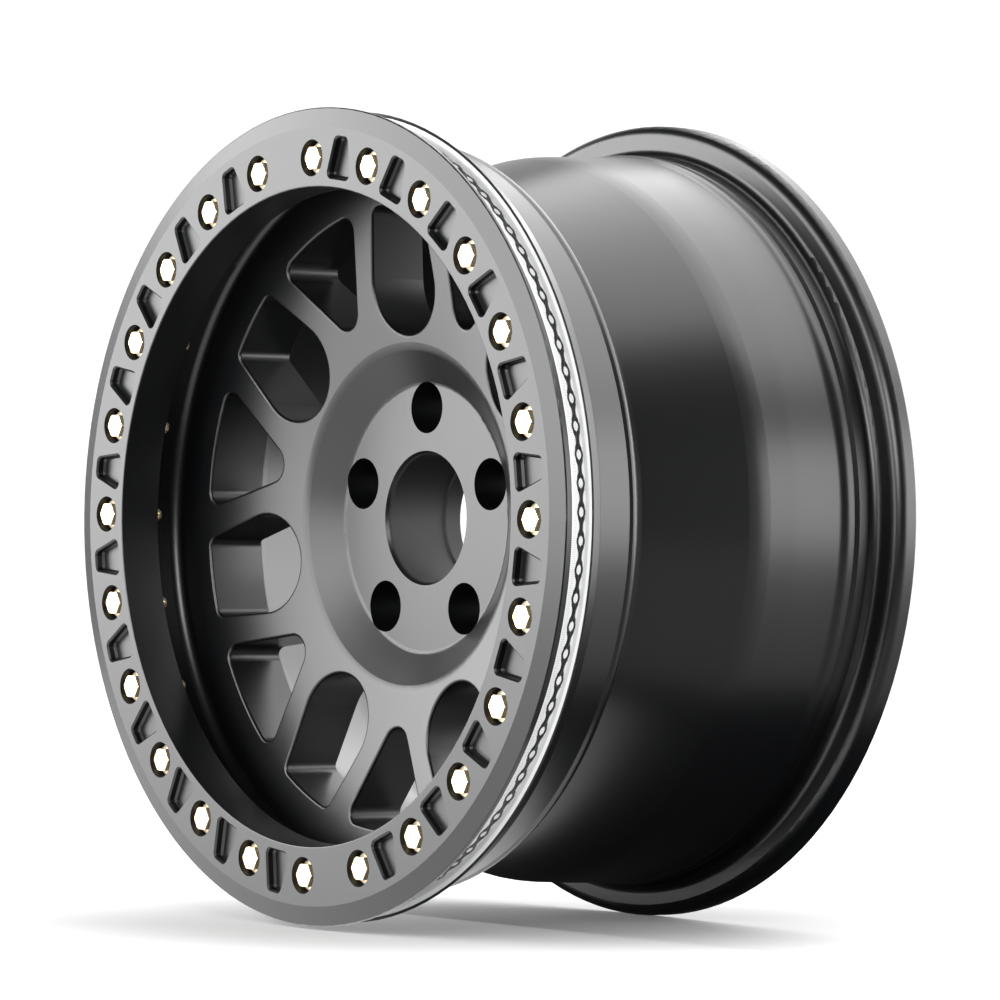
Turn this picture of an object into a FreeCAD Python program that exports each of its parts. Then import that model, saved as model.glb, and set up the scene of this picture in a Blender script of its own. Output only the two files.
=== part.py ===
import FreeCAD, Part
import math
import os
import Sketcher

# Off-road car wheel with a bolted outer ring.
# The wheel axis is Y, the outer face looks towards -Y and +Z is up.
# Every body is drawn with the face of the ring at depth 0 and depth growing along +Y,
# then moved forward by half of the overall width.

SIZES = {
    # overall
    "overall_width": 253.0,
    # outer ring
    "ring_outer_radius": 231.5,
    "ring_face_radius": 220.2,
    "ring_inner_radius": 186.5,
    "ring_edge_depth": 3.0,
    "ring_lip_depth": 5.0,
    "ring_thickness": 14.0,
    "ring_pilot_radius": 220.5,
    "ring_edge_round": 0.8,
    # pockets between the bolts on the ring
    "pocket_inner_radius": 192.0,
    "pocket_outer_radius": 215.0,
    "pocket_inner_half": 10.5,
    "pocket_outer_half": 5.4,
    "pocket_corner": 3.0,
    "pocket_edge": 1.0,
    "pocket_wall_depth": 4.3,
    "pocket_floor_rise": 1.2,
    "pocket_floor_angle": 45.0,
    "pocket_run": 11,
    # ring bolts and washers
    "bolt_count": 24,
    "bolt_circle_radius": 202.9,
    "bolt_shank_radius": 3.97,
    "bolt_length": 31.75,
    "bolt_head_flats": 12.7,
    "bolt_head_height": 5.2,
    "bolt_head_recess": 0.4,
    "washer_outer_radius": 8.75,
    "washer_inner_radius": 4.35,
    "washer_thickness": 1.6,
    "counterbore_radius": 10.5,
    "ring_hole_radius": 4.35,
    "thread_clearance": 0.1,
    "thread_run_out": 2.0,
    # front of the rim
    "register_clearance": 0.3,
    "rim_front_depth": 5.4,
    "front_land_radius": 224.5,
    "front_land_chamfer": 0.8,
    "band_front_depth": 12.6,
    "band_radius": 222.6,
    "band_rear_depth": 23.0,
    "front_flange_radius": 230.0,
    "front_flange_rear_radius": 226.2,
    "front_flange_rear_depth": 31.2,
    "front_flange_round": 2.0,
    "front_heel_radius": 217.2,
    "front_heel_round": 6.5,
    "front_seat_rear_radius": 214.6,
    "front_seat_rear_depth": 60.3,
    "front_hump_rise": 0.6,
    "front_hump_depth": 62.4,
    "drop_edge_depth": 66.0,
    "drop_edge_round": 4.5,
    "drop_radius": 190.2,
    "drop_front_depth": 78.0,
    "drop_front_round": 5.0,
    "drop_rear_depth": 85.0,
    "drop_rear_round": 25.0,
    # barrel behind the drop centre
    "ramp_radius": 211.0,
    "ramp_depth": 157.0,
    "ramp_round": 60.0,
    "rear_seat_radius": 212.2,
    "rear_seat_depth": 182.0,
    "rear_seat_round": 200.0,
    "hump_front_radius": 213.4,
    "hump_front_depth": 213.8,
    "hump_rise": 1.6,
    "hump_top_depth": 218.0,
    "hump_rear_depth": 222.5,
    "hump_round": 8.0,
    "hump_groove_depth": 224.0,
    "hump_groove_drop": 2.0,
    "rear_bead_depth": 226.8,
    "rear_bead_radius": 214.5,
    "rear_heel_radius": 215.6,
    "rear_heel_depth": 238.0,
    "rear_heel_round": 5.5,
    "rear_flange_front_depth": 239.2,
    "rear_flange_front_round": 7.0,
    "rear_flange_radius": 233.3,
    "rear_flange_round": 1.2,
    # inside of the barrel
    "rear_lip_radius": 223.0,
    "rear_flare_radius": 213.5,
    "rear_flare_depth": 247.0,
    "rear_flare_round": 6.0,
    "inner_rear_radius": 206.3,
    "inner_rear_depth": 235.0,
    "inner_mid_radius": 203.4,
    "inner_mid_depth": 168.0,
    "inner_mid_round": 60.0,
    "inner_ramp_radius": 181.6,
    "inner_ramp_depth": 100.5,
    "inner_ramp_round": 12.0,
    # web and hub
    "web_rear_outer_radius": 179.0,
    "web_rear_outer_depth": 93.5,
    "web_rear_round": 4.0,
    "web_rear_inner_radius": 104.0,
    "web_rear_inner_depth": 106.0,
    "web_rear_hub_round": 12.0,
    "pad_side_radius": 86.0,
    "pad_radius": 82.0,
    "pad_round": 3.0,
    "pad_depth": 137.4,
    "bore_radius": 35.75,
    "bore_chamfer": 1.0,
    "bore_land_depth": 126.0,
    "bore_step": 1.2,
    "bore_front_radius": 38.75,
    "bore_front_depth": 87.0,
    "hub_face_depth": 84.0,
    "hub_disc_radius": 77.5,
    "hub_disc_round": 4.0,
    "web_hub_radius": 98.3,
    "web_hub_depth": 70.0,
    "web_hub_round": 11.0,
    "web_outer_radius": 207.5,
    "web_outer_depth": 54.2,
    "web_outer_round": 7.0,
    # undercut behind the front lip
    "lip_root_depth": 30.0,
    "lip_root_round": 5.0,
    "lip_rear_radius": 189.8,
    "lip_rear_depth": 26.8,
    "lip_edge_depth": 25.6,
    # windows between the spokes
    "window_pairs": 7,
    "window_start_depth": 52.0,
    "window_length": 62.0,
    "window_draft": 1.5,
    "window_turn": 0.7,
    "window_edge_round": 1.6,
    "window_outer_radius": 179.4,
    "wide_window_inner_radius": 104.6,
    "wide_window_round": 29.2,
    "wide_window_half": 23.4,
    "wide_window_corner": 6.0,
    "tip_window_inner_radius": 120.6,
    "tip_window_round": 11.2,
    "tip_window_half": 37.5,
    "tip_window_corner": 7.0,
    # lug holes
    "lug_count": 5,
    "lug_circle_radius": 63.5,
    "lug_counterbore_radius": 14.85,
    "lug_counterbore_depth": 115.0,
    "lug_seat_radius": 11.5,
    "lug_hole_radius": 7.5,
    "lug_seat_angle": 30.0,
    "lug_cut_margin": 8.0,
    # relief pockets on the back of the hub, between the lugs
    "relief_inner_radius": 50.0,
    "relief_outer_radius": 76.0,
    "relief_inner_half": 8.0,
    "relief_outer_half": 17.0,
    "relief_corner": 5.0,
    "relief_depth": 14.0,
    # valve hole
    "valve_hole_radius": 5.7,
    "valve_circle_radius": 199.0,
    "valve_angle": 77.143,
    "valve_start_depth": 46.0,
    "valve_length": 36.0,
}

doc = FreeCAD.newDocument("BoltedRingWheel")
sheet = doc.addObject("Spreadsheet::Sheet", "Sizes")
for row, (alias, number) in enumerate(SIZES.items(), start=1):
    sheet.set("A%d" % row, alias)
    sheet.set("B%d" % row, str(number))
    sheet.setAlias("B%d" % row, alias)
doc.recompute()


class Size:
    """A number together with the sheet expression it comes from."""

    def __init__(self, value, text):
        self.value = value
        self.text = text

    def join(self, other, sign, value, swapped=False):
        other_text = other.text if isinstance(other, Size) else repr(other)
        first, second = (other_text, self.text) if swapped else (self.text, other_text)
        return Size(value, "(%s %s %s)" % (first, sign, second))

    def __add__(self, other):
        return self.join(other, "+", self.value + plain(other))

    def __radd__(self, other):
        return self.join(other, "+", plain(other) + self.value, True)

    def __sub__(self, other):
        return self.join(other, "-", self.value - plain(other))

    def __rsub__(self, other):
        return self.join(other, "-", plain(other) - self.value, True)

    def __mul__(self, other):
        return self.join(other, "*", self.value * plain(other))

    def __truediv__(self, other):
        return self.join(other, "/", self.value / plain(other))

    def __neg__(self):
        return Size(-self.value, "(-1 * %s)" % self.text)


def plain(thing):
    return thing.value if isinstance(thing, Size) else float(thing)


def size(alias):
    return Size(float(SIZES[alias]), "Sizes.%s" % alias)


def sine(angle):
    return Size(math.sin(math.radians(angle.value)), "sin(%s * 1 deg)" % angle.text)


def cosine(angle):
    return Size(math.cos(math.radians(angle.value)), "cos(%s * 1 deg)" % angle.text)


def tangent(angle):
    return Size(math.tan(math.radians(angle.value)), "tan(%s * 1 deg)" % angle.text)


ORIGIN = (-1, 1)
ACROSS_AXIS = -1
UPRIGHT_AXIS = -2


def new_body(label, several=False):
    body = doc.addObject("PartDesign::Body", label)
    body.Label = label
    body.AllowCompound = several
    body.setExpression("Placement.Base.y", "-0.5 * Sizes.overall_width")
    return body


def origin_item(body, role):
    for item in body.Origin.OriginFeatures:
        if item.Role == role:
            return item
    raise RuntimeError("no origin feature " + role)


def new_sketch(body, name, role, depth=None):
    """A sketch on one of the origin planes, moved to a depth when it is on the XZ plane."""
    sketch = body.newObject("Sketcher::SketchObject", name)
    sketch.AttachmentSupport = [(origin_item(body, role), "")]
    sketch.MapMode = "FlatFace"
    if depth is not None:
        sketch.setExpression("AttachmentOffset.Base.z", "-1 * %s" % depth.text)
    return sketch


def bind(sketch, constraint, wanted):
    """Add a constraint that takes its value from the sheet."""
    index = sketch.addConstraint(constraint)
    sketch.setExpression("Constraints[%d]" % index, wanted.text)


def fix_point(sketch, geometry, end, across, up):
    """Hold one point of the sketch at two sizes measured from the origin."""
    for kind, axis, wanted in (("DistanceX", UPRIGHT_AXIS, across), ("DistanceY", ACROSS_AXIS, up)):
        if abs(plain(wanted)) < 1e-9:
            sketch.addConstraint(Sketcher.Constraint("PointOnObject", geometry, end, axis))
        elif plain(wanted) > 0:
            rule = Sketcher.Constraint(kind, ORIGIN[0], ORIGIN[1], geometry, end, wanted.value)
            bind(sketch, rule, wanted)
        else:
            turned = -wanted
            rule = Sketcher.Constraint(kind, geometry, end, ORIGIN[0], ORIGIN[1], turned.value)
            bind(sketch, rule, turned)


def vector(x, y):
    return FreeCAD.Vector(x, y, 0)


def arc_between(centre, radius, first, last):
    """An arc from first to last, always drawn counter-clockwise."""
    start = math.atan2(first.y - centre.y, first.x - centre.x)
    stop = math.atan2(last.y - centre.y, last.x - centre.x)
    if stop < start:
        stop += 2 * math.pi
    circle = Part.Circle(centre, FreeCAD.Vector(0, 0, 1), radius)
    return Part.ArcOfCircle(circle, start, stop)


def draw_outline(sketch, corners):
    """A closed outline through corners given as (across, up) or (across, up, round)."""
    count = len(corners)
    points = [vector(plain(c[0]), plain(c[1])) for c in corners]
    rounds = [c[2] if len(c) > 2 else None for c in corners]
    trims = []
    for i in range(count):
        back = (points[i - 1] - points[i]).normalize()
        ahead = (points[(i + 1) % count] - points[i]).normalize()
        if rounds[i] is None:
            trims.append((points[i], points[i], None, None))
            continue
        half = back.getAngle(ahead) / 2
        reach = rounds[i].value / math.tan(half)
        first = points[i] + back * reach
        last = points[i] + ahead * reach
        middle = points[i] + (back + ahead).normalize() * (rounds[i].value / math.sin(half))
        trims.append((first, last, middle, back.cross(ahead).z < 0))
    lines = []
    for i in range(count):
        after = trims[(i + 1) % count][0]
        lines.append(sketch.addGeometry(Part.LineSegment(trims[i][1], after), False))
    for i in range(count):
        first, last, middle, counter = trims[i]
        before, here = lines[i - 1], lines[i]
        if middle is None:
            sketch.addConstraint(Sketcher.Constraint("Coincident", before, 2, here, 1))
            fix_point(sketch, here, 1, corners[i][0], corners[i][1])
            continue
        ends = (first, last) if counter else (last, first)
        arc = sketch.addGeometry(arc_between(middle, rounds[i].value, *ends), False)
        sketch.addConstraint(Sketcher.Constraint("Tangent", before, 2, arc, 1 if counter else 2))
        sketch.addConstraint(Sketcher.Constraint("Tangent", here, 1, arc, 2 if counter else 1))
        bind(sketch, Sketcher.Constraint("Radius", arc, rounds[i].value), rounds[i])
        corner = sketch.addGeometry(Part.Point(points[i]), True)
        sketch.addConstraint(Sketcher.Constraint("PointOnObject", corner, 1, before))
        sketch.addConstraint(Sketcher.Constraint("PointOnObject", corner, 1, here))
        fix_point(sketch, corner, 1, corners[i][0], corners[i][1])


def draw_circle(sketch, across, up, radius):
    centre = vector(plain(across), plain(up))
    circle = sketch.addGeometry(Part.Circle(centre, FreeCAD.Vector(0, 0, 1), radius.value), False)
    bind(sketch, Sketcher.Constraint("Radius", circle, radius.value), radius)
    fix_point(sketch, circle, 3, across, up)


def draw_window(sketch, inner, end_round, half, outer, corner):
    """A window with a round inner end, straight sides and an outer end about the wheel axis."""
    middle = vector(0, inner.value + end_round.value)
    sharp = vector(half.value, math.sqrt(outer.value ** 2 - half.value ** 2))
    reach = sharp - middle
    swing = math.acos(end_round.value / reach.Length)
    angle = math.atan2(reach.y, reach.x) - swing
    touch = middle + vector(math.cos(angle), math.sin(angle)) * end_round.value
    along = (sharp - touch).normalize()
    inward = vector(-along.y, along.x)
    # the corner arc touches the side from inside and the outer end from inside
    base = touch + inward * corner.value
    gap = outer.value - corner.value
    run = -base.dot(along) + math.sqrt(base.dot(along) ** 2 - base.dot(base) + gap ** 2)
    knuckle = base + along * run
    side_end = touch + along * run
    rim_end = knuckle * (outer.value / gap)

    def mirrored(point):
        return vector(-point.x, point.y)

    right = sketch.addGeometry(Part.LineSegment(touch, side_end), False)
    left = sketch.addGeometry(Part.LineSegment(mirrored(side_end), mirrored(touch)), False)
    bottom = sketch.addGeometry(arc_between(middle, end_round.value, mirrored(touch), touch), False)
    top = sketch.addGeometry(arc_between(vector(0, 0), outer.value, rim_end, mirrored(rim_end)), False)
    right_corner = sketch.addGeometry(arc_between(knuckle, corner.value, side_end, rim_end), False)
    left_corner = sketch.addGeometry(
        arc_between(mirrored(knuckle), corner.value, mirrored(rim_end), mirrored(side_end)), False)
    for one, one_end, other, other_end in (
            (bottom, 2, right, 1), (right, 2, right_corner, 1), (right_corner, 2, top, 1),
            (top, 2, left_corner, 1), (left_corner, 2, left, 1), (left, 2, bottom, 1)):
        sketch.addConstraint(Sketcher.Constraint("Tangent", one, one_end, other, other_end))
    sketch.addConstraint(Sketcher.Constraint("Coincident", top, 3, *ORIGIN))
    bind(sketch, Sketcher.Constraint("Radius", top, outer.value), outer)
    bind(sketch, Sketcher.Constraint("Radius", bottom, end_round.value), end_round)
    fix_point(sketch, bottom, 3, 0, inner + end_round)
    bind(sketch, Sketcher.Constraint("Radius", right_corner, corner.value), corner)
    bind(sketch, Sketcher.Constraint("Radius", left_corner, corner.value), corner)
    for line, point, sign in ((right, sharp, 1), (left, mirrored(sharp), -1)):
        mark = sketch.addGeometry(Part.Point(point), True)
        sketch.addConstraint(Sketcher.Constraint("PointOnObject", mark, 1, line))
        sketch.addConstraint(Sketcher.Constraint("PointOnObject", mark, 1, top))
        ends = (ORIGIN[0], ORIGIN[1], mark, 1) if sign > 0 else (mark, 1, ORIGIN[0], ORIGIN[1])
        bind(sketch, Sketcher.Constraint("DistanceX", *ends, half.value), half)


def settle(feature):
    """Recompute and stop at once when a feature has failed."""
    doc.recompute()
    if "Invalid" in feature.State or "Error" in feature.State:
        raise RuntimeError("feature failed: " + feature.Name)
    return feature


def revolve(body, sketch, name):
    feature = body.newObject("PartDesign::Revolution", name)
    feature.Profile = sketch
    feature.ReferenceAxis = (sketch, ["V_Axis"])
    feature.Angle = 360
    return settle(feature)


def pad(body, sketch, name, length):
    """Extrude a sketch on the XZ plane into depth."""
    feature = body.newObject("PartDesign::Pad", name)
    feature.Profile = sketch
    feature.setExpression("Length", length.text)
    feature.Reversed = True
    return settle(feature)


def cut(body, sketch, name, length, taper=None, to_front=False):
    """Cut a sketch on the XZ plane into depth, or towards the front; the volume has to fall."""
    before = body.Shape.Volume
    feature = body.newObject("PartDesign::Pocket", name)
    feature.Profile = sketch
    feature.setExpression("Length", length.text)
    if taper is not None:
        feature.setExpression("TaperAngle", "-1 * %s" % taper.text)
    feature.Reversed = to_front
    settle(feature)
    if not feature.Shape.Volume < before - 1:
        raise RuntimeError("nothing was cut by " + name)
    return feature


def polar(body, originals, name, count, angle=None):
    """Repeat features about the wheel axis, over the whole turn or over an angle."""
    feature = body.newObject("PartDesign::PolarPattern", name)
    feature.Originals = originals
    feature.Axis = (origin_item(body, "Y_Axis"), [""])
    feature.setExpression("Occurrences", count.text)
    feature.Angle = 360
    if angle is not None:
        feature.setExpression("Angle", angle.text)
    body.Tip = feature
    return settle(feature)


def turned_corners(corners, angle):
    """Turn outline corners clockwise about the wheel axis, as seen from the front."""
    result = []
    for across, up, round_size in corners:
        result.append((across * cosine(angle) + up * sine(angle),
                       up * cosine(angle) - across * sine(angle), round_size))
    return result


def trapezoid(inner_half, inner, outer_half, outer, corner):
    return [(-inner_half, inner, corner), (inner_half, inner, corner),
            (outer_half, outer, corner), (-outer_half, outer, corner)]


# Depths that follow from the fit of the bolts in the ring
head_top = size("bolt_head_recess")
head_seat = head_top + size("bolt_head_height")
washer_seat = head_seat + size("washer_thickness")
bolt_tip = head_seat + size("bolt_length")
bolt_pitch = Size(360.0 / SIZES["bolt_count"], "(360 / Sizes.bolt_count)")


def round_window_edges(body):
    """Round the front edges of the windows, which all lie on the cone of the web."""
    rise = size("web_outer_depth") - size("web_hub_depth")
    slope = rise.value / (SIZES["web_outer_radius"] - SIZES["web_hub_radius"])
    last = body.Tip
    names = []
    for index, edge in enumerate(last.Shape.Edges, start=1):
        on_cone = True
        for point in edge.discretize(5):
            radius = math.hypot(point.x, point.z)
            cone_depth = SIZES["web_hub_depth"] + slope * (radius - SIZES["web_hub_radius"])
            inside = SIZES["wide_window_inner_radius"] - 1 < radius < SIZES["window_outer_radius"] + 1
            on_cone = on_cone and inside and abs(point.y - cone_depth) < 0.05
        if on_cone:
            names.append("Edge%d" % index)
    feature = body.newObject("PartDesign::Fillet", "WindowEdges")
    feature.Base = (last, names)
    feature.setExpression("Radius", "Sizes.window_edge_round")
    return settle(feature)


def build_casting():
    body = new_body("wheel_casting")
    register_radius = size("ring_pilot_radius") + size("register_clearance")
    hump_top_radius = size("hump_front_radius") + size("hump_rise")
    front_hump_radius = size("front_seat_rear_radius") + size("front_hump_rise")
    bore_back = size("pad_depth") - size("bore_chamfer")
    bore_inner = size("bore_radius") + size("bore_step")
    section = [
        # front lip and register of the ring
        (size("ring_inner_radius"), size("ring_thickness")),
        (register_radius, size("ring_thickness")),
        (register_radius, size("rim_front_depth")),
        (size("front_land_radius") - size("front_land_chamfer"), size("rim_front_depth")),
        (size("front_land_radius"), size("rim_front_depth") + size("front_land_chamfer")),
        (size("front_land_radius"), size("band_front_depth")),
        (size("band_radius"), size("band_front_depth")),
        (size("band_radius"), size("band_rear_depth")),
        # front flange and bead seat
        (size("front_flange_radius"), size("band_rear_depth")),
        (size("front_flange_rear_radius"), size("front_flange_rear_depth"), size("front_flange_round")),
        (size("front_heel_radius"), size("front_flange_rear_depth"), size("front_heel_round")),
        (size("front_seat_rear_radius"), size("front_seat_rear_depth")),
        (front_hump_radius, size("front_hump_depth")),
        # drop centre
        (front_hump_radius, size("drop_edge_depth"), size("drop_edge_round")),
        (size("drop_radius"), size("drop_front_depth"), size("drop_front_round")),
        (size("drop_radius"), size("drop_rear_depth"), size("drop_rear_round")),
        # barrel up to the rear bead seat and flange
        (size("ramp_radius"), size("ramp_depth"), size("ramp_round")),
        (size("rear_seat_radius"), size("rear_seat_depth"), size("rear_seat_round")),
        (size("hump_front_radius"), size("hump_front_depth"), size("hump_round")),
        (hump_top_radius, size("hump_top_depth"), size("hump_round")),
        (hump_top_radius, size("hump_rear_depth")),
        (hump_top_radius - size("hump_groove_drop"), size("hump_groove_depth")),
        (size("rear_bead_radius"), size("rear_bead_depth")),
        (size("rear_heel_radius"), size("rear_heel_depth"), size("rear_heel_round")),
        (size("rear_flange_radius"), size("rear_flange_front_depth"), size("rear_flange_front_round")),
        (size("rear_flange_radius"), size("overall_width"), size("rear_flange_round")),
        # inside of the barrel
        (size("rear_lip_radius"), size("overall_width"), size("rear_flange_round")),
        (size("rear_flare_radius"), size("rear_flare_depth"), size("rear_flare_round")),
        (size("inner_rear_radius"), size("inner_rear_depth"), size("rear_flare_round")),
        (size("inner_mid_radius"), size("inner_mid_depth"), size("inner_mid_round")),
        (size("inner_ramp_radius"), size("inner_ramp_depth"), size("inner_ramp_round")),
        # back of the web, hub pad and bore
        (size("web_rear_outer_radius"), size("web_rear_outer_depth"), size("web_rear_round")),
        (size("web_rear_inner_radius"), size("web_rear_inner_depth"), size("web_rear_hub_round")),
        (size("pad_side_radius"), size("web_rear_inner_depth") + size("web_rear_hub_round")),
        (size("pad_radius"), size("pad_depth"), size("pad_round")),
        (size("bore_radius") + size("bore_chamfer"), size("pad_depth")),
        (size("bore_radius"), bore_back),
        (size("bore_radius"), size("bore_land_depth")),
        (bore_inner, size("bore_land_depth") - size("bore_step")),
        (bore_inner, size("bore_front_depth")),
        (size("bore_front_radius"), size("hub_face_depth")),
        # hub disc, recess and front of the web
        (size("hub_disc_radius"), size("hub_face_depth"), size("hub_disc_round")),
        (size("web_hub_radius"), size("web_hub_depth"), size("web_hub_round")),
        (size("web_outer_radius"), size("web_outer_depth"), size("web_outer_round")),
        # undercut behind the front lip
        (size("web_outer_radius"), size("lip_root_depth"), size("lip_root_round")),
        (size("lip_rear_radius"), size("lip_rear_depth")),
        (size("ring_inner_radius"), size("lip_edge_depth")),
    ]
    sketch = new_sketch(body, "CastingSection", "XY_Plane")
    draw_outline(sketch, section)
    revolve(body, sketch, "CastingTurned")

    windows = []
    for name, kind, turned in (("WideWindow", "wide", False), ("TipWindow", "tip", True)):
        sketch = new_sketch(body, name + "Outline", "XZ_Plane", size("window_start_depth"))
        draw_window(sketch, size(kind + "_window_inner_radius"), size(kind + "_window_round"),
                    size(kind + "_window_half"), size("window_outer_radius"),
                    size(kind + "_window_corner"))
        half_pitch = "180 / Sizes.window_pairs" if turned else "0"
        sketch.setExpression("AttachmentOffset.Rotation.Angle", half_pitch + " - Sizes.window_turn")
        windows.append(cut(body, sketch, name, size("window_length"), size("window_draft")))
    polar(body, windows, "WindowPairs", size("window_pairs"))

    # lug hole at the top: counterbore, cone seat and hole, turned about its own axis
    sketch = new_sketch(body, "LugSection", "YZ_Plane")
    axis_up = size("lug_circle_radius")
    front = size("hub_face_depth") - size("lug_cut_margin")
    back = size("pad_depth") + size("lug_cut_margin")
    seat_run = (size("lug_seat_radius") - size("lug_hole_radius")) / tangent(size("lug_seat_angle"))
    seat_front = size("lug_counterbore_depth")
    axis = sketch.addGeometry(
        Part.LineSegment(vector(front.value, axis_up.value), vector(back.value, axis_up.value)), True)
    fix_point(sketch, axis, 1, front, axis_up)
    fix_point(sketch, axis, 2, back, axis_up)
    draw_outline(sketch, [
        (front, axis_up),
        (front, axis_up + size("lug_counterbore_radius")),
        (seat_front, axis_up + size("lug_counterbore_radius")),
        (seat_front, axis_up + size("lug_seat_radius")),
        (seat_front + seat_run, axis_up + size("lug_hole_radius")),
        (back, axis_up + size("lug_hole_radius")),
        (back, axis_up),
    ])
    before = body.Shape.Volume
    lug = body.newObject("PartDesign::Groove", "LugHole")
    lug.Profile = sketch
    lug.ReferenceAxis = (sketch, ["Axis0"])
    lug.Angle = 360
    settle(lug)
    if not lug.Shape.Volume < before - 1:
        raise RuntimeError("the lug hole was not cut")
    polar(body, [lug], "LugHoles", size("lug_count"))

    sketch = new_sketch(body, "ReliefOutline", "XZ_Plane", size("pad_depth"))
    between_lugs = Size(180.0 / SIZES["lug_count"], "(180 / Sizes.lug_count)")
    outline = trapezoid(size("relief_inner_half"), size("relief_inner_radius"),
                        size("relief_outer_half"), size("relief_outer_radius"), size("relief_corner"))
    draw_outline(sketch, turned_corners(outline, between_lugs))
    relief = cut(body, sketch, "Relief", size("relief_depth"), None, True)
    polar(body, [relief], "Reliefs", size("lug_count"))

    sketch = new_sketch(body, "TappedHoleOutline", "XZ_Plane", size("ring_thickness"))
    draw_circle(sketch, 0, size("bolt_circle_radius"), size("bolt_shank_radius") + size("thread_clearance"))
    tapped = cut(body, sketch, "TappedHole", bolt_tip + size("thread_run_out") - size("ring_thickness"))
    polar(body, [tapped], "TappedHoles", size("bolt_count"))

    sketch = new_sketch(body, "ValveHoleOutline", "XZ_Plane", size("valve_start_depth"))
    draw_circle(sketch, size("valve_circle_radius") * sine(size("valve_angle")),
                size("valve_circle_radius") * cosine(size("valve_angle")), size("valve_hole_radius"))
    cut(body, sketch, "ValveHole", size("valve_length"))
    round_window_edges(body)
    return body


def build_ring():
    body = new_body("beadlock_ring")
    sketch = new_sketch(body, "RingSection", "XY_Plane")
    draw_outline(sketch, [
        (size("ring_inner_radius"), 0, size("ring_edge_round")),
        (size("ring_face_radius"), 0),
        (size("ring_outer_radius"), size("ring_edge_depth"), size("ring_edge_round")),
        (size("ring_outer_radius"), size("ring_lip_depth")),
        (size("ring_pilot_radius"), size("ring_lip_depth")),
        (size("ring_pilot_radius"), size("ring_thickness")),
        (size("ring_inner_radius"), size("ring_thickness")),
    ])
    revolve(body, sketch, "RingTurned")

    sketch = new_sketch(body, "CounterboreOutline", "XZ_Plane")
    draw_circle(sketch, 0, size("bolt_circle_radius"), size("counterbore_radius"))
    counterbore = cut(body, sketch, "Counterbore", washer_seat)
    sketch = new_sketch(body, "RingHoleOutline", "XZ_Plane")
    draw_circle(sketch, 0, size("bolt_circle_radius"), size("ring_hole_radius"))
    hole = cut(body, sketch, "RingHole", size("ring_thickness"))
    polar(body, [counterbore, hole], "BoltSeats", size("bolt_count"))

    # two runs of pockets, so that the two places left between them stay bare
    pockets = []
    outline = trapezoid(size("pocket_inner_half"), size("pocket_inner_radius"),
                        size("pocket_outer_half"), size("pocket_outer_radius"), size("pocket_corner"))
    edge = size("pocket_edge")
    half_turn = Size(180.0, "180")
    wall = size("pocket_wall_depth")
    for run, start in (("First", bolt_pitch / 2), ("Second", half_turn + bolt_pitch / 2)):
        sketch = new_sketch(body, run + "BrimOutline", "XZ_Plane", edge)
        draw_outline(sketch, turned_corners(outline, start))
        pockets.append(cut(body, sketch, run + "Brim", edge, size("pocket_floor_angle") * -1, True))
        sketch = new_sketch(body, run + "PocketOutline", "XZ_Plane", edge)
        draw_outline(sketch, turned_corners(outline, start))
        pockets.append(cut(body, sketch, run + "Pocket", wall - edge))
        sketch = new_sketch(body, run + "FloorOutline", "XZ_Plane", wall)
        draw_outline(sketch, turned_corners(outline, start))
        pockets.append(cut(body, sketch, run + "Floor", size("pocket_floor_rise"), size("pocket_floor_angle")))
    polar(body, pockets, "Pockets", size("pocket_run"), bolt_pitch * (size("pocket_run") - 1))
    return body


def build_bolts():
    body = new_body("ring_bolts", True)
    sketch = new_sketch(body, "HeadOutline", "XZ_Plane", head_top)
    corner = size("bolt_head_flats") / math.sqrt(3)
    corners = []
    for step in range(6):
        angle = math.radians(60 * step)
        corners.append((corner * math.sin(angle) if step % 3 else Size(0.0, "0"),
                        size("bolt_circle_radius") + corner * math.cos(angle)))
    draw_outline(sketch, corners)
    head = pad(body, sketch, "Head", size("bolt_head_height"))
    sketch = new_sketch(body, "ShankOutline", "XZ_Plane", head_seat)
    draw_circle(sketch, 0, size("bolt_circle_radius"), size("bolt_shank_radius"))
    shank = pad(body, sketch, "Shank", size("bolt_length"))
    polar(body, [head, shank], "BoltRow", size("bolt_count"))
    return body


def build_washers():
    body = new_body("bolt_washers", True)
    sketch = new_sketch(body, "WasherOutline", "XZ_Plane", head_seat)
    draw_circle(sketch, 0, size("bolt_circle_radius"), size("washer_outer_radius"))
    draw_circle(sketch, 0, size("bolt_circle_radius"), size("washer_inner_radius"))
    washer = pad(body, sketch, "Washer", size("washer_thickness"))
    polar(body, [washer], "WasherRow", size("bolt_count"))
    return body


bodies = [build_casting(), build_ring(), build_bolts(), build_washers()]
solid_counts = {"ring_bolts": SIZES["bolt_count"], "bolt_washers": SIZES["bolt_count"]}
doc.recompute()

for item in doc.Objects:
    if "Invalid" in item.State or "Error" in item.State:
        raise RuntimeError("object failed: " + item.Name)
os.makedirs("parts", exist_ok=True)
for body in bodies:
    shape = body.Shape
    if not shape.isValid() or len(shape.Solids) != solid_counts.get(body.Label, 1):
        raise RuntimeError("bad shape: " + body.Label)
    print("%s volume %.1f cm3" % (body.Label, shape.Volume / 1000))
    shape.exportStep("parts/%s.step" % body.Label)
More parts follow.
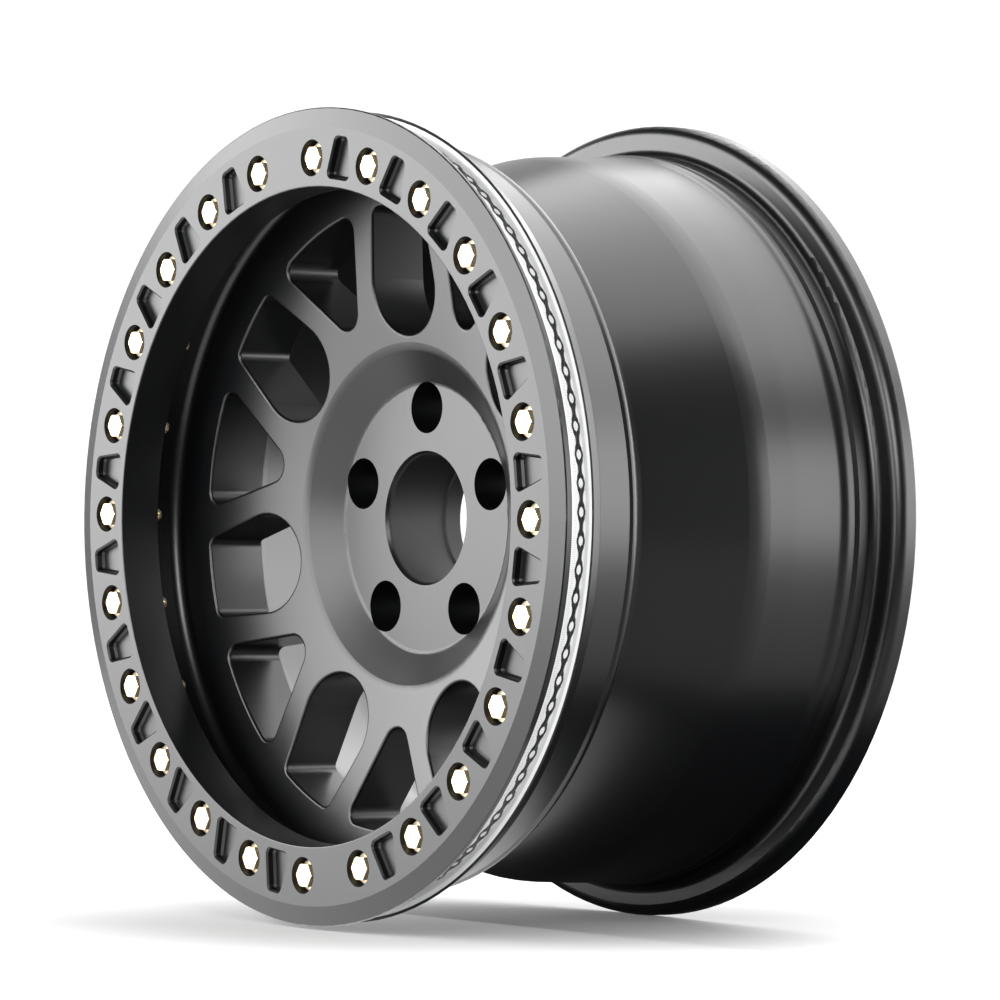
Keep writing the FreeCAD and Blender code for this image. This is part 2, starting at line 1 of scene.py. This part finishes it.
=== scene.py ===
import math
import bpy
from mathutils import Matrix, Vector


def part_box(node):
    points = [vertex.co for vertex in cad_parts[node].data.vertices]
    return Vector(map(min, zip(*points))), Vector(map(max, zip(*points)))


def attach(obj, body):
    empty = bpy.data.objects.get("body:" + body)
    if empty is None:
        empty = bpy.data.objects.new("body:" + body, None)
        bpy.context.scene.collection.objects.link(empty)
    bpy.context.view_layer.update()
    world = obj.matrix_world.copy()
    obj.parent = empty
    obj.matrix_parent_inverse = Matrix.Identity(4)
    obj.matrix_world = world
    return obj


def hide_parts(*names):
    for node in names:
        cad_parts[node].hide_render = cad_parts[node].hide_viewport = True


bl_info = {
    "name": "Bolted-ring wheel dresser",
    "version": (1, 0, 0),
    "blender": (4, 5, 0),
    "location": "3D View > Sidebar > Wheel",
    "description": "Paints the packed wheel, adds its bolts and rim band, and lights it in a plain studio",
    "category": "Object",
}

import bmesh
import bpy
from mathutils import Matrix, Vector

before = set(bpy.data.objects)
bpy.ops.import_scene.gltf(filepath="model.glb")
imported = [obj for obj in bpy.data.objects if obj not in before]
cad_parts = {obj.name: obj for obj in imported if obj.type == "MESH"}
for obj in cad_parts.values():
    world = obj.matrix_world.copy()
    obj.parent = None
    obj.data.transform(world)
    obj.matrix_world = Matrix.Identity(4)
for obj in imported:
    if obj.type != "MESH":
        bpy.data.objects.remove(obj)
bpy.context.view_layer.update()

MM = 0.001
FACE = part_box("beadlock_ring")[0].y
WHEEL_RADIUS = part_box("wheel_casting")[1].z
BOLTS_LOW, BOLTS_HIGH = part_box("ring_bolts")

# Where the casting's finish changes, in millimetres: radii from the axis and depths behind the ring face.
BAND_RADII = (222.4, 228.2)
BAND_DEPTHS = (12.5, 23.1)
BAND_WALL_HIGHLIGHT_RADII = (225.4, 225.8)
TICK_DEPTHS = (14.6, 17.3)
BORE_RADII = (37.4, 37.6)
BORE_START = (84.0, 84.5)
BARREL_RADII = (180.4, 181.0)
BARREL_START = (84.0, 85.0)
FRONT_RIM_RADII = (208.9, 209.1)
SOFT_EDGE = 0.1
SHARP_EDGE = 0.05

# Looks of the bare band and the bore. The groove's floor is painted darker, as painted shade, and the outer
# part of its rear side lighter, as a painted highlight; the ticks are knurl marks.
TICKS_ROUND = 1440
TICK_SIDES = (-0.3, 0.3)
TICK_SHADE = 0.2
BAND_FLOOR_PAINTED_SHADE = 0.75
BAND_METALLIC = 0.1
BORE_ROUGHENING = 0.3

# Shape of the chain. A strand is thin in the open eyes and grows wide where it crosses the other one.
LINK_STEPS = 14.0
PROFILE_POINTS = 8
BOW_POWER = 1.5
CROSSING_LIFT = 0.5
EYE_EDGE = 0.91
GROWTH_RATE = 8.5
CROSSING_GROWTH = 0.78

# The floor's patch of painted shade round the wheel, in millimetres, and its glow near the wheel and far from
# it.
SHADE_PATCH_DEPTH = 120.0
SHADE_PATCH_RADII = (120.0, 480.0)
FLOOR_GREY = 0.32
SHADED_NEAR_GLOW = 0.08
FAR_GLOW = 0.95


class Value:
    """A shader socket that can be used in Python arithmetic."""

    def __init__(self, tree, socket):
        self.tree = tree
        self.socket = socket

    def math(self, operation, *others, swapped=False):
        inputs = list(others) + [self] if swapped else [self] + list(others)
        return self.tree.node("ShaderNodeMath", {"operation": operation}, dict(enumerate(inputs)))

    def __add__(self, other):
        return self.math("ADD", other)

    __radd__ = __add__

    def __sub__(self, other):
        return self.math("SUBTRACT", other)

    def __rsub__(self, other):
        return self.math("SUBTRACT", other, swapped=True)

    def __mul__(self, other):
        return self.math("MULTIPLY", other)

    __rmul__ = __mul__

    def __truediv__(self, other):
        return self.math("DIVIDE", other)

    def __rtruediv__(self, other):
        return self.math("DIVIDE", other, swapped=True)

    def __pow__(self, other):
        return self.math("POWER", other)

    def step(self, low, high):
        """0 below low, 1 above high and smooth in between."""
        settings = {"interpolation_type": "SMOOTHSTEP"}
        values = {"Value": self, "From Min": low, "From Max": high}
        return self.tree.node("ShaderNodeMapRange", settings, values, "Result")

    def between(self, low, high, edge):
        """1 from low to high, with soft edges."""
        return self.step(low - edge, low + edge) * (1 - self.step(high - edge, high + edge))

    def mix(self, first, second):
        """A colour that goes from first to second as this value goes from 0 to 1."""
        values = {"Factor": self, 6: first, 7: second}
        return self.tree.node("ShaderNodeMix", {"data_type": "RGBA"}, values, 2)


class Finish:
    """A material with one Principled shader and short ways to add nodes."""

    def __init__(self, name):
        self.material = bpy.data.materials.new(name)
        self.material.use_nodes = True
        self.nodes = self.material.node_tree.nodes
        self.links = self.material.node_tree.links
        self.shader = self.nodes["Principled BSDF"]

    def node(self, kind, settings, values, output=0):
        made = self.nodes.new(kind)
        for name, setting in settings.items():
            setattr(made, name, setting)
        for key, value in values.items():
            self.feed(made.inputs[key], value)
        return Value(self, made.outputs[output])

    def feed(self, socket, value):
        if isinstance(value, Value):
            self.links.new(value.socket, socket)
        else:
            socket.default_value = value

    def set(self, **values):
        """Feed the shader's inputs, with an underscore for each space in a name."""
        for name, value in values.items():
            self.feed(self.shader.inputs[name.replace("_", " ")], value)

    def place(self):
        """Across, depth behind the ring face and height of a point, in millimetres."""
        coordinates = self.node("ShaderNodeTexCoord", {}, {}, "Object")
        split = self.node("ShaderNodeSeparateXYZ", {}, {"Vector": coordinates}).socket.node
        across, depth, height = (Value(self, output) for output in split.outputs)
        return across / MM, (depth - FACE) / MM, height / MM


def opaque(colour):
    return (*colour, 1.0)


def grey(level):
    return (level, level, level, 1.0)


def colour_prop(name, description, default):
    return bpy.props.FloatVectorProperty(
        name=name, description=description, default=default, size=3, min=0.0, max=1.0, subtype="COLOR")


def length_prop(name, description, default):
    return bpy.props.FloatProperty(
        name=name, description=description, default=default, min=0.0, unit="LENGTH", subtype="DISTANCE")


def factor_prop(name, description, default):
    return bpy.props.FloatProperty(
        name=name, description=description, default=default, min=0.0, max=1.0, subtype="FACTOR")


def angle_prop(name, description, degrees):
    return bpy.props.FloatProperty(
        name=name, description=description, default=math.radians(degrees), unit="ROTATION", subtype="ANGLE")


def power_prop(name, description, default):
    return bpy.props.FloatProperty(
        name=name, description=description, default=default, min=0.0, unit="POWER", subtype="POWER")


def count_prop(name, description, default, least):
    return bpy.props.IntProperty(name=name, description=description, default=default, min=least)


class WheelPaintSettings(bpy.types.PropertyGroup):
    paint: colour_prop("Paint", "Colour of the satin paint on casting and ring", (0.0012, 0.0014, 0.0018))
    paint_roughness: factor_prop("Paint roughness", "Roughness of the satin paint", 0.32)
    metal: colour_prop("Bare metal", "Colour of the machined band on the rim", (0.96, 0.965, 0.97))
    metal_roughness: factor_prop("Metal roughness", "Roughness of the machined band", 0.45)


class WheelBandSettings(bpy.types.PropertyGroup):
    radius: length_prop("Band radius", "Radius of the bare band on the rim", 222.6 * MM)
    depth: length_prop("Chain depth", "Depth of the chain's middle behind the ring face", 20.2 * MM)
    links: count_prop("Links", "Eyes round the whole chain, an even number", 90, 2)
    first: angle_prop("First eye", "Angle of the first eye from the top", 0.9)
    swing: length_prop("Swing", "How far each strand swings to the side", 2.2 * MM)
    strand: length_prop("Strand", "Half of a strand's width at an eye", 0.68 * MM)
    height: length_prop("Height", "How far the strands stand above the band", 0.55 * MM)


class WheelBoltSettings(bpy.types.PropertyGroup):
    count: count_prop("Bolts", "Bolts in the ring", 24, 1)
    circle: length_prop("Bolt circle", "Radius of the bolt circle", 202.9 * MM)
    flats: length_prop("Flats", "Width of the head across its flats", 12.7 * MM)
    shank: length_prop("Shank", "Radius of the shank", 3.97 * MM)
    head: length_prop("Head", "Height of the head", 5.2 * MM)
    plating: colour_prop("Plating", "Colour of the plated bolts and washers", (0.88, 0.74, 0.50))


class WheelStudioSettings(bpy.types.PropertyGroup):
    front_power: power_prop("Front light", "Power of the soft light at the front left", 205.0)
    back_power: power_prop("Back light", "Power of the soft light at the back right", 60.0)
    top_power: power_prop("Top light", "Power of the soft light overhead", 158.0)
    fill_power: power_prop("Fill light", "Power of the small light beside the camera", 30.0)
    spin: angle_prop("Wheel spin", "Turn of the wheel in the photograph", 1.15)


def set_material(mesh, material):
    mesh.materials.clear()
    mesh.materials.append(material)


def object_from(name, mesh, material=None):
    made = bpy.data.objects.new(name, mesh)
    bpy.context.scene.collection.objects.link(made)
    if material:
        set_material(mesh, material)
    return made


def dress(node, material):
    """Give a CAD node its finish and leave its mesh as it is."""
    set_material(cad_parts[node].data, material)


def satin_paint(name, settings):
    paint = Finish(name)
    paint.set(Base_Color=opaque(settings.paint), Roughness=settings.paint_roughness, IOR=1.5)
    return paint


def turned_normal(finish, turned):
    """The normal, freed of the slip round the axis that facets give it where the casting is turned."""

    def vector(operation, values, output=0):
        return finish.node("ShaderNodeVectorMath", {"operation": operation}, values, output)

    axis = (0.0, 1.0, 0.0)
    place = finish.node("ShaderNodeTexCoord", {}, {}, "Object")
    normal = finish.node("ShaderNodeNewGeometry", {}, {}, "Normal")
    around = vector("NORMALIZE", {0: vector("CROSS_PRODUCT", {0: place, 1: axis})})
    slip = vector("DOT_PRODUCT", {0: normal, 1: around}, "Value") * turned
    correction = vector("SCALE", {0: around, "Scale": slip})
    return vector("NORMALIZE", {0: vector("SUBTRACT", {0: normal, 1: correction})})


def casting_finish(settings):
    """Satin paint, with the band in front of the flange left as machined metal."""
    finish = satin_paint("casting_paint", settings)
    across, depth, height = finish.place()
    radius = (across * across + height * height) ** 0.5
    bare = radius.between(*BAND_RADII, SOFT_EDGE) * depth.between(*BAND_DEPTHS, SHARP_EDGE)
    bore = (1 - radius.step(*BORE_RADII)) * depth.step(*BORE_START)
    wave = (across.math("ARCTAN2", height) * TICKS_ROUND).math("SINE")
    tick = wave.step(*TICK_SIDES) * depth.between(*TICK_DEPTHS, SOFT_EDGE)
    # Painted highlight on the outer part of the groove's rear side, over painted shade on the groove floor;
    # the ticks are knurl marks.
    wall_highlight = radius.step(*BAND_WALL_HIGHLIGHT_RADII)
    shade = BAND_FLOOR_PAINTED_SHADE + wall_highlight * (1 - BAND_FLOOR_PAINTED_SHADE) - tick * TICK_SHADE
    metal = shade.mix(grey(0.0), opaque(settings.metal))
    barrel = radius.step(*BARREL_RADII) * depth.step(*BARREL_START)
    front_rim = radius.step(*FRONT_RIM_RADII)
    band_roughening = settings.metal_roughness - settings.paint_roughness
    finish.set(
        Normal=turned_normal(finish, barrel.math("MAXIMUM", front_rim)),
        Base_Color=bare.mix(opaque(settings.paint), metal),
        Metallic=bare * BAND_METALLIC,
        Roughness=bare * band_roughening + bore * BORE_ROUGHENING + settings.paint_roughness,
    )
    return finish.material


def plated_finish(name, colour, roughness):
    finish = Finish(name)
    finish.set(Base_Color=opaque(colour), Metallic=0.8, Roughness=roughness)
    return finish.material


class WHEEL_OT_paint(bpy.types.Operator):
    """Paint the casting, the ring and the washers"""

    bl_idname = "wheel.paint"
    bl_label = "Paint the wheel"

    def execute(self, context):
        settings = context.scene.wheel_paint
        plating = context.scene.wheel_bolts.plating
        dress("wheel_casting", casting_finish(settings))
        dress("beadlock_ring", satin_paint("ring_paint", settings).material)
        dress("bolt_washers", plated_finish("washer_plating", plating, roughness=0.3))
        return {"FINISHED"}


class NodeTree:
    """A geometry node tree with named inputs, built step by step."""

    def __init__(self, name, inputs):
        self.tree = bpy.data.node_groups.new(name, "GeometryNodeTree")
        self.tree.is_modifier = True
        self.sockets = {}
        for label, kind in inputs.items():
            self.sockets[label] = self.tree.interface.new_socket(label, in_out="INPUT", socket_type=kind)
        self.tree.interface.new_socket("Geometry", in_out="OUTPUT", socket_type="NodeSocketGeometry")
        self.entry = self.tree.nodes.new("NodeGroupInput")

    def input(self, label):
        return self.entry.outputs[label]

    def node(self, kind, settings, values, output=0):
        made = self.tree.nodes.new(kind)
        for name, setting in settings.items():
            setattr(made, name, setting)
        for key, value in values.items():
            if isinstance(value, bpy.types.NodeSocket):
                self.tree.links.new(value, made.inputs[key])
            else:
                made.inputs[key].default_value = value
        return made.outputs[output]

    def math(self, operation, *values):
        return self.node("ShaderNodeMath", {"operation": operation}, dict(enumerate(values)))

    def join(self, *parts):
        made = self.tree.nodes.new("GeometryNodeJoinGeometry")
        for part in parts:
            self.tree.links.new(part, made.inputs[0])
        return made.outputs[0]

    def finish(self, geometry, material):
        """Realize the instances, set the material and close the tree."""
        real = self.node("GeometryNodeRealizeInstances", {}, {"Geometry": geometry})
        painted = self.node("GeometryNodeSetMaterial", {}, {"Geometry": real, "Material": material})
        last = self.tree.nodes.new("NodeGroupOutput")
        self.tree.links.new(painted, last.inputs[0])

    def bake(self, name, values):
        """Run the tree on an empty mesh and return the result as an object with a plain mesh."""
        carrier = object_from(name + "_nodes", bpy.data.meshes.new(name + "_nodes"))
        modifier = carrier.modifiers.new("nodes", "NODES")
        modifier.node_group = self.tree
        for label, value in values.items():
            modifier[self.sockets[label].identifier] = value
        graph = bpy.context.evaluated_depsgraph_get()
        mesh = bpy.data.meshes.new_from_object(carrier.evaluated_get(graph))
        carrier.modifiers.remove(modifier)
        bpy.data.objects.remove(carrier)
        if not mesh.polygons:
            raise RuntimeError(name + " came out empty")
        mesh.name = name
        return object_from(name, mesh)


def hexagon_radius(angle, flats):
    """Distance from the axis to a hexagon's edge, with a corner at angle 0."""
    within = angle % (math.pi / 3) - math.pi / 6
    return flats / 2 / math.cos(within)


def bolt_prototype(settings, material):
    """One bolt along +Y, its head top at depth 0, with a chamfered head and rings for the thread."""
    segments = 48
    length = BOLTS_HIGH.y - BOLTS_LOW.y
    crown_share = 0.545
    crown = settings.flats * crown_share
    crown_slope = math.tan(math.radians(30))
    broken_edge = 0.3 * MM
    edge_drop = broken_edge * 0.7
    plain_shank = 12 * MM
    pitch = 1.411 * MM
    thread_end = length - 1.5 * pitch
    groove = 0.62 * MM
    root = settings.shank - groove
    mesh = bmesh.new()

    def loop(radius_at, depth_at):
        ring = []
        for step in range(segments):
            angle = step * 2 * math.pi / segments
            radius = radius_at(angle)
            point = (radius * math.cos(angle), depth_at(radius), radius * math.sin(angle))
            ring.append(mesh.verts.new(point))
        return ring

    def flank(angle):
        return hexagon_radius(angle, settings.flats)

    def round_loop(radius, depth):
        return loop(lambda angle: radius, lambda reach: depth)

    rings = [
        loop(lambda angle: min(crown, flank(angle)) - broken_edge, lambda radius: 0.0),
        loop(flank, lambda radius: edge_drop + max(0.0, radius - crown) * crown_slope),
        loop(flank, lambda radius: settings.head),
        round_loop(settings.shank, settings.head),
    ]
    depth = settings.head + plain_shank
    while depth < thread_end:
        rings.append(round_loop(settings.shank, depth))
        rings.append(round_loop(root, depth + pitch / 2))
        depth += pitch
    rings.append(round_loop(settings.shank, length - pitch))
    rings.append(round_loop(root, length))
    for first, second in zip(rings, rings[1:]):
        for i in range(segments):
            j = (i + 1) % segments
            mesh.faces.new((first[i], first[j], second[j], second[i]))
    mesh.faces.new(rings[0])
    mesh.faces.new(rings[-1])
    bmesh.ops.recalc_face_normals(mesh, faces=mesh.faces)
    data = bpy.data.meshes.new("bolt_prototype")
    mesh.to_mesh(data)
    mesh.free()
    return object_from("bolt_prototype", data, material)


class WHEEL_OT_bolts(bpy.types.Operator):
    """Set the ring's hexagon bolts, each with its corners to the left and right"""

    bl_idname = "wheel.bolts"
    bl_label = "Set the ring bolts"

    def execute(self, context):
        settings = context.scene.wheel_bolts
        material = plated_finish("bolt_plating", settings.plating, roughness=0.22)
        prototype = bolt_prototype(settings, material)
        tree = NodeTree("bolt_row", {
            "Bolt": "NodeSocketObject", "Count": "NodeSocketInt", "Circle": "NodeSocketFloat",
            "Depth": "NodeSocketFloat"})
        circle = tree.node("GeometryNodeMeshCircle", {}, {
            "Vertices": tree.input("Count"), "Radius": tree.input("Circle")}, "Mesh")
        depth = tree.node("ShaderNodeCombineXYZ", {}, {"Y": tree.input("Depth")})
        upright = tree.node("GeometryNodeTransform", {}, {
            "Geometry": circle, "Translation": depth, "Rotation": (math.pi / 2, 0.0, 0.0)})
        bolt = tree.node("GeometryNodeObjectInfo", {}, {"Object": tree.input("Bolt")}, "Geometry")
        row = tree.node("GeometryNodeInstanceOnPoints", {}, {"Points": upright, "Instance": bolt})
        tree.finish(row, material)
        bolts = tree.bake("hex_bolts", {
            "Bolt": prototype, "Count": settings.count, "Circle": settings.circle, "Depth": BOLTS_LOW.y})
        bpy.data.objects.remove(prototype)
        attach(bolts, "root")
        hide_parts("ring_bolts")
        return {"FINISHED"}


class WHEEL_OT_band(bpy.types.Operator):
    """Lay the twisted two-strand chain round the rim's bare band"""

    bl_idname = "wheel.band"
    bl_label = "Lay the chain band"

    def strand(self, tree, side, count, angle, twist):
        """The path of one strand, which starts at its own side of the first eye."""
        wave = tree.math("COSINE", twist)
        openness = tree.math("ABSOLUTE", wave)
        bow = tree.math("MULTIPLY", wave, tree.math("POWER", openness, BOW_POWER))
        sway = tree.math("MULTIPLY", tree.math("MULTIPLY", bow, tree.input("Swing")), side)
        lift = tree.math("MULTIPLY", tree.math("SINE", twist), CROSSING_LIFT * side)
        radius = tree.math("ADD", tree.input("Radius"), tree.math("MULTIPLY", lift, tree.input("Strand")))
        place = tree.node("ShaderNodeCombineXYZ", {}, {
            "X": tree.math("MULTIPLY", radius, tree.math("SINE", angle)),
            "Y": tree.math("ADD", sway, tree.input("Depth")),
            "Z": tree.math("MULTIPLY", radius, tree.math("COSINE", angle))})
        circle = tree.node(
            "GeometryNodeCurvePrimitiveCircle", {"mode": "RADIUS"}, {"Resolution": count}, "Curve")
        path = tree.node("GeometryNodeSetPosition", {}, {"Geometry": circle, "Position": place})
        past_eye = tree.math("SUBTRACT", EYE_EDGE, openness)
        growth = tree.node(
            "ShaderNodeMath", {"operation": "MULTIPLY", "use_clamp": True}, {0: past_eye, 1: GROWTH_RATE})
        width = tree.math("ADD", 1.0, tree.math("MULTIPLY", growth, CROSSING_GROWTH))
        return tree.node("GeometryNodeSetCurveRadius", {}, {"Curve": path, "Radius": width})

    def flattened(self, tree, strands):
        """Press the strands down on the band until they stand up by their stated height."""
        position = tree.node("GeometryNodeInputPosition", {}, {})
        across, depth, height = tree.node("ShaderNodeSeparateXYZ", {}, {0: position}).node.outputs
        radius = tree.math("SQRT", tree.math(
            "ADD", tree.math("MULTIPLY", across, across), tree.math("MULTIPLY", height, height)))
        full_height = tree.math("MULTIPLY", tree.input("Strand"), 2.0)
        squash = tree.math("DIVIDE", tree.input("Height"), full_height)
        rise = tree.math("MULTIPLY", tree.math("SUBTRACT", radius, tree.input("Radius")), squash)
        scale = tree.math("DIVIDE", tree.math("ADD", tree.input("Radius"), rise), radius)
        place = tree.node("ShaderNodeCombineXYZ", {}, {
            "X": tree.math("MULTIPLY", across, scale), "Y": depth, "Z": tree.math("MULTIPLY", height, scale)})
        return tree.node("GeometryNodeSetPosition", {}, {"Geometry": strands, "Position": place})

    def execute(self, context):
        settings = context.scene.wheel_band
        if settings.links % 2:
            raise RuntimeError("a twisted chain needs an even number of links to close")
        black = Finish("chain_black")
        black.set(Base_Color=(0.008, 0.008, 0.009, 1.0), Roughness=0.38)
        tree = NodeTree("twisted_chain", {
            "Radius": "NodeSocketFloat", "Depth": "NodeSocketFloat", "Links": "NodeSocketInt",
            "First": "NodeSocketFloat", "Swing": "NodeSocketFloat", "Strand": "NodeSocketFloat",
            "Height": "NodeSocketFloat"})
        count = tree.math("MULTIPLY", tree.input("Links"), LINK_STEPS)
        turn = tree.math("DIVIDE", tree.node("GeometryNodeInputIndex", {}, {}), count)
        angle = tree.math("ADD", tree.math("MULTIPLY", turn, 2 * math.pi), tree.input("First"))
        twist = tree.math("MULTIPLY", tree.math("MULTIPLY", turn, math.pi), tree.input("Links"))
        strands = [self.strand(tree, side, count, angle, twist) for side in (1.0, -1.0)]
        profile = tree.node("GeometryNodeCurvePrimitiveCircle", {"mode": "RADIUS"}, {
            "Resolution": PROFILE_POINTS, "Radius": tree.input("Strand")}, "Curve")
        swept = tree.node("GeometryNodeCurveToMesh", {}, {
            "Curve": tree.join(*strands), "Profile Curve": profile,
            "Scale": tree.node("GeometryNodeInputRadius", {}, {})})
        tree.finish(self.flattened(tree, swept), black.material)
        chain = tree.bake("chain_band", {
            "Radius": settings.radius, "Depth": FACE + settings.depth, "Links": settings.links,
            "First": settings.first, "Swing": settings.swing, "Strand": settings.strand,
            "Height": settings.height})
        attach(chain, "root")
        return {"FINISHED"}


def soft_light(name, place, target, size, power):
    """A rectangular light at a place, turned to its target."""
    data = bpy.data.lights.new(name, "AREA")
    data.shape = "RECTANGLE"
    data.size = size[0]
    data.size_y = size[1]
    data.energy = power
    made = bpy.data.objects.new(name, data)
    bpy.context.scene.collection.objects.link(made)
    made.location = place
    made.rotation_euler = (Vector(target) - Vector(place)).to_track_quat("-Z", "Y").to_euler()


def photo_camera(spin):
    """The camera that was fitted to the photograph, turned with the wheel's spin."""
    azimuth = math.radians(52.081)
    elevation = math.radians(-1.092)
    distance = 3.18038
    slide_right = -0.109103
    slide_up = -0.009365
    level = math.cos(elevation)
    back = Vector((math.sin(azimuth) * level, -math.cos(azimuth) * level, math.sin(elevation)))
    right = Vector((math.cos(azimuth), math.sin(azimuth), 0.0))
    up = back.cross(right)
    place = back * distance - right * slide_right - up * slide_up
    pose = Matrix.Translation(place) @ Matrix((right, up, back)).transposed().to_4x4()
    data = bpy.data.cameras.new("photo_camera")
    data.sensor_width = 36.0
    data.lens = 202.462
    made = bpy.data.objects.new("photo_camera", data)
    bpy.context.scene.collection.objects.link(made)
    made.matrix_world = Matrix.Translation((0.0, FACE, 0.0)) @ Matrix.Rotation(-spin, 4, "Y") @ pose
    bpy.context.scene.camera = made
    return made


def flat_sheet(name, corners, material):
    mesh = bpy.data.meshes.new(name)
    mesh.from_pydata(corners, [], [tuple(range(len(corners)))])
    sheet = object_from(name, mesh, material)
    return sheet


def level_corners(low, high, height):
    """Corners of a level rectangle between two opposite corners."""
    plan = ((low[0], low[1]), (high[0], low[1]), (high[0], high[1]), (low[0], high[1]))
    return [(x, y, height) for x, y in plan]


def pale_floor():
    """A matt pale floor that glows more away from the wheel, so that it meets the backdrop unseen; its weak
    glow round the wheel's footprint is painted shade over the real shadows there.
    """
    finish = Finish("floor_white")
    across, depth, _ = finish.place()
    behind = depth - SHADE_PATCH_DEPTH
    far = ((across * across + behind * behind) ** 0.5).step(*SHADE_PATCH_RADII)
    finish.set(
        Base_Color=grey(FLOOR_GREY),
        Roughness=0.9,
        Emission_Color=far.mix(grey(SHADED_NEAR_GLOW), grey(FAR_GLOW)),
        Emission_Strength=1.0,
    )
    return finish.material


def glowing(name, strength):
    finish = Finish(name)
    finish.set(Base_Color=grey(0.0), Emission_Color=grey(1.0), Emission_Strength=strength)
    return finish.material


def bounce_card(name, low, high, height, strength):
    """Light thrown up by part of the floor, seen only in the reflections on the wheel."""
    card = flat_sheet(name, level_corners(low, high, height), glowing(name + "_white", strength))
    card.visible_camera = False
    card.visible_diffuse = False
    card.visible_shadow = False


def backdrop(camera, distance, half_width, foot, top, strength):
    """A bright upright sheet behind the wheel, square to the camera."""
    turn = camera.matrix_world.to_3x3()
    middle = turn @ Vector((0.0, 0.0, -1.0)) * distance
    right = turn @ Vector((1.0, 0.0, 0.0))
    corners = []
    for side, height in ((-1, foot), (1, foot), (1, top), (-1, top)):
        corner = middle + right * side * half_width
        corners.append((corner.x, corner.y, height))
    flat_sheet("backdrop", corners, glowing("backdrop_white", strength))


class WHEEL_OT_studio(bpy.types.Operator):
    """Set the pale floor, the soft lights and the camera"""

    bl_idname = "wheel.studio"
    bl_label = "Set the studio"

    def execute(self, context):
        settings = context.scene.wheel_studio
        camera = photo_camera(settings.spin)
        middle = (0.0, 0.0, 0.0)
        world_colour = (0.02, 0.02, 0.021, 1.0)
        floor_half = 8.0
        floor_gap = 0.2 * MM
        floor_height = -WHEEL_RADIUS - floor_gap
        card_height = floor_height + MM
        corners = level_corners((-floor_half, -floor_half), (floor_half, floor_half), floor_height)
        floor = flat_sheet("floor", corners, pale_floor())
        floor.visible_glossy = False
        bounce_card("front_bounce", low=(-1.8, -1.4), high=(0.25, 0.0), height=card_height, strength=1.8)
        bounce_card("back_bounce", low=(0.3, -0.2), high=(2.2, 2.0), height=card_height, strength=0.5)
        backdrop(camera, distance=4.5, half_width=3.5, foot=-0.5, top=3.0, strength=1.1)
        soft_light(
            "front_light", place=(-1.0, -1.9, 0.6), target=(0.0, 0.0, 0.1), size=(4.6, 1.7),
            power=settings.front_power)
        soft_light(
            "back_light", place=(1.05, 1.73, 0.2), target=middle, size=(2.7, 1.1),
            power=settings.back_power)
        soft_light(
            "fill_light", place=(1.55, -1.25, 0.75), target=middle, size=(0.9, 0.9),
            power=settings.fill_power)
        soft_light(
            "top_light", place=(0.05, 1.5, 1.85), target=middle, size=(3.6, 3.0),
            power=settings.top_power)
        world = bpy.data.worlds.new("studio_world")
        world.use_nodes = True
        world.node_tree.nodes["Background"].inputs["Color"].default_value = world_colour
        context.scene.world = world
        context.scene.view_settings.view_transform = "Standard"
        return {"FINISHED"}


class WHEEL_PT_dresser(bpy.types.Panel):
    """Lists the steps that dress the wheel and the sizes that they use"""

    bl_idname = "WHEEL_PT_dresser"
    bl_label = "Bolted-ring wheel"
    bl_space_type = "VIEW_3D"
    bl_region_type = "UI"
    bl_category = "Wheel"

    def draw(self, context):
        for operator in OPERATORS:
            self.layout.operator(operator.bl_idname)
        for group in SETTINGS:
            settings = getattr(context.scene, group)
            for name in settings.__annotations__:
                self.layout.prop(settings, name)


SETTINGS = {
    "wheel_paint": WheelPaintSettings,
    "wheel_band": WheelBandSettings,
    "wheel_bolts": WheelBoltSettings,
    "wheel_studio": WheelStudioSettings,
}
OPERATORS = (WHEEL_OT_paint, WHEEL_OT_bolts, WHEEL_OT_band, WHEEL_OT_studio)
CLASSES = (*SETTINGS.values(), *OPERATORS, WHEEL_PT_dresser)


def register():
    for made in CLASSES:
        bpy.utils.register_class(made)
    for name, group in SETTINGS.items():
        setattr(bpy.types.Scene, name, bpy.props.PointerProperty(type=group))


def unregister():
    for name in SETTINGS:
        delattr(bpy.types.Scene, name)
    for made in reversed(CLASSES):
        bpy.utils.unregister_class(made)


def main():
    register()
    bpy.ops.wheel.paint()
    bpy.ops.wheel.bolts()
    bpy.ops.wheel.band()
    bpy.ops.wheel.studio()


if __name__ == "__main__":
    main()
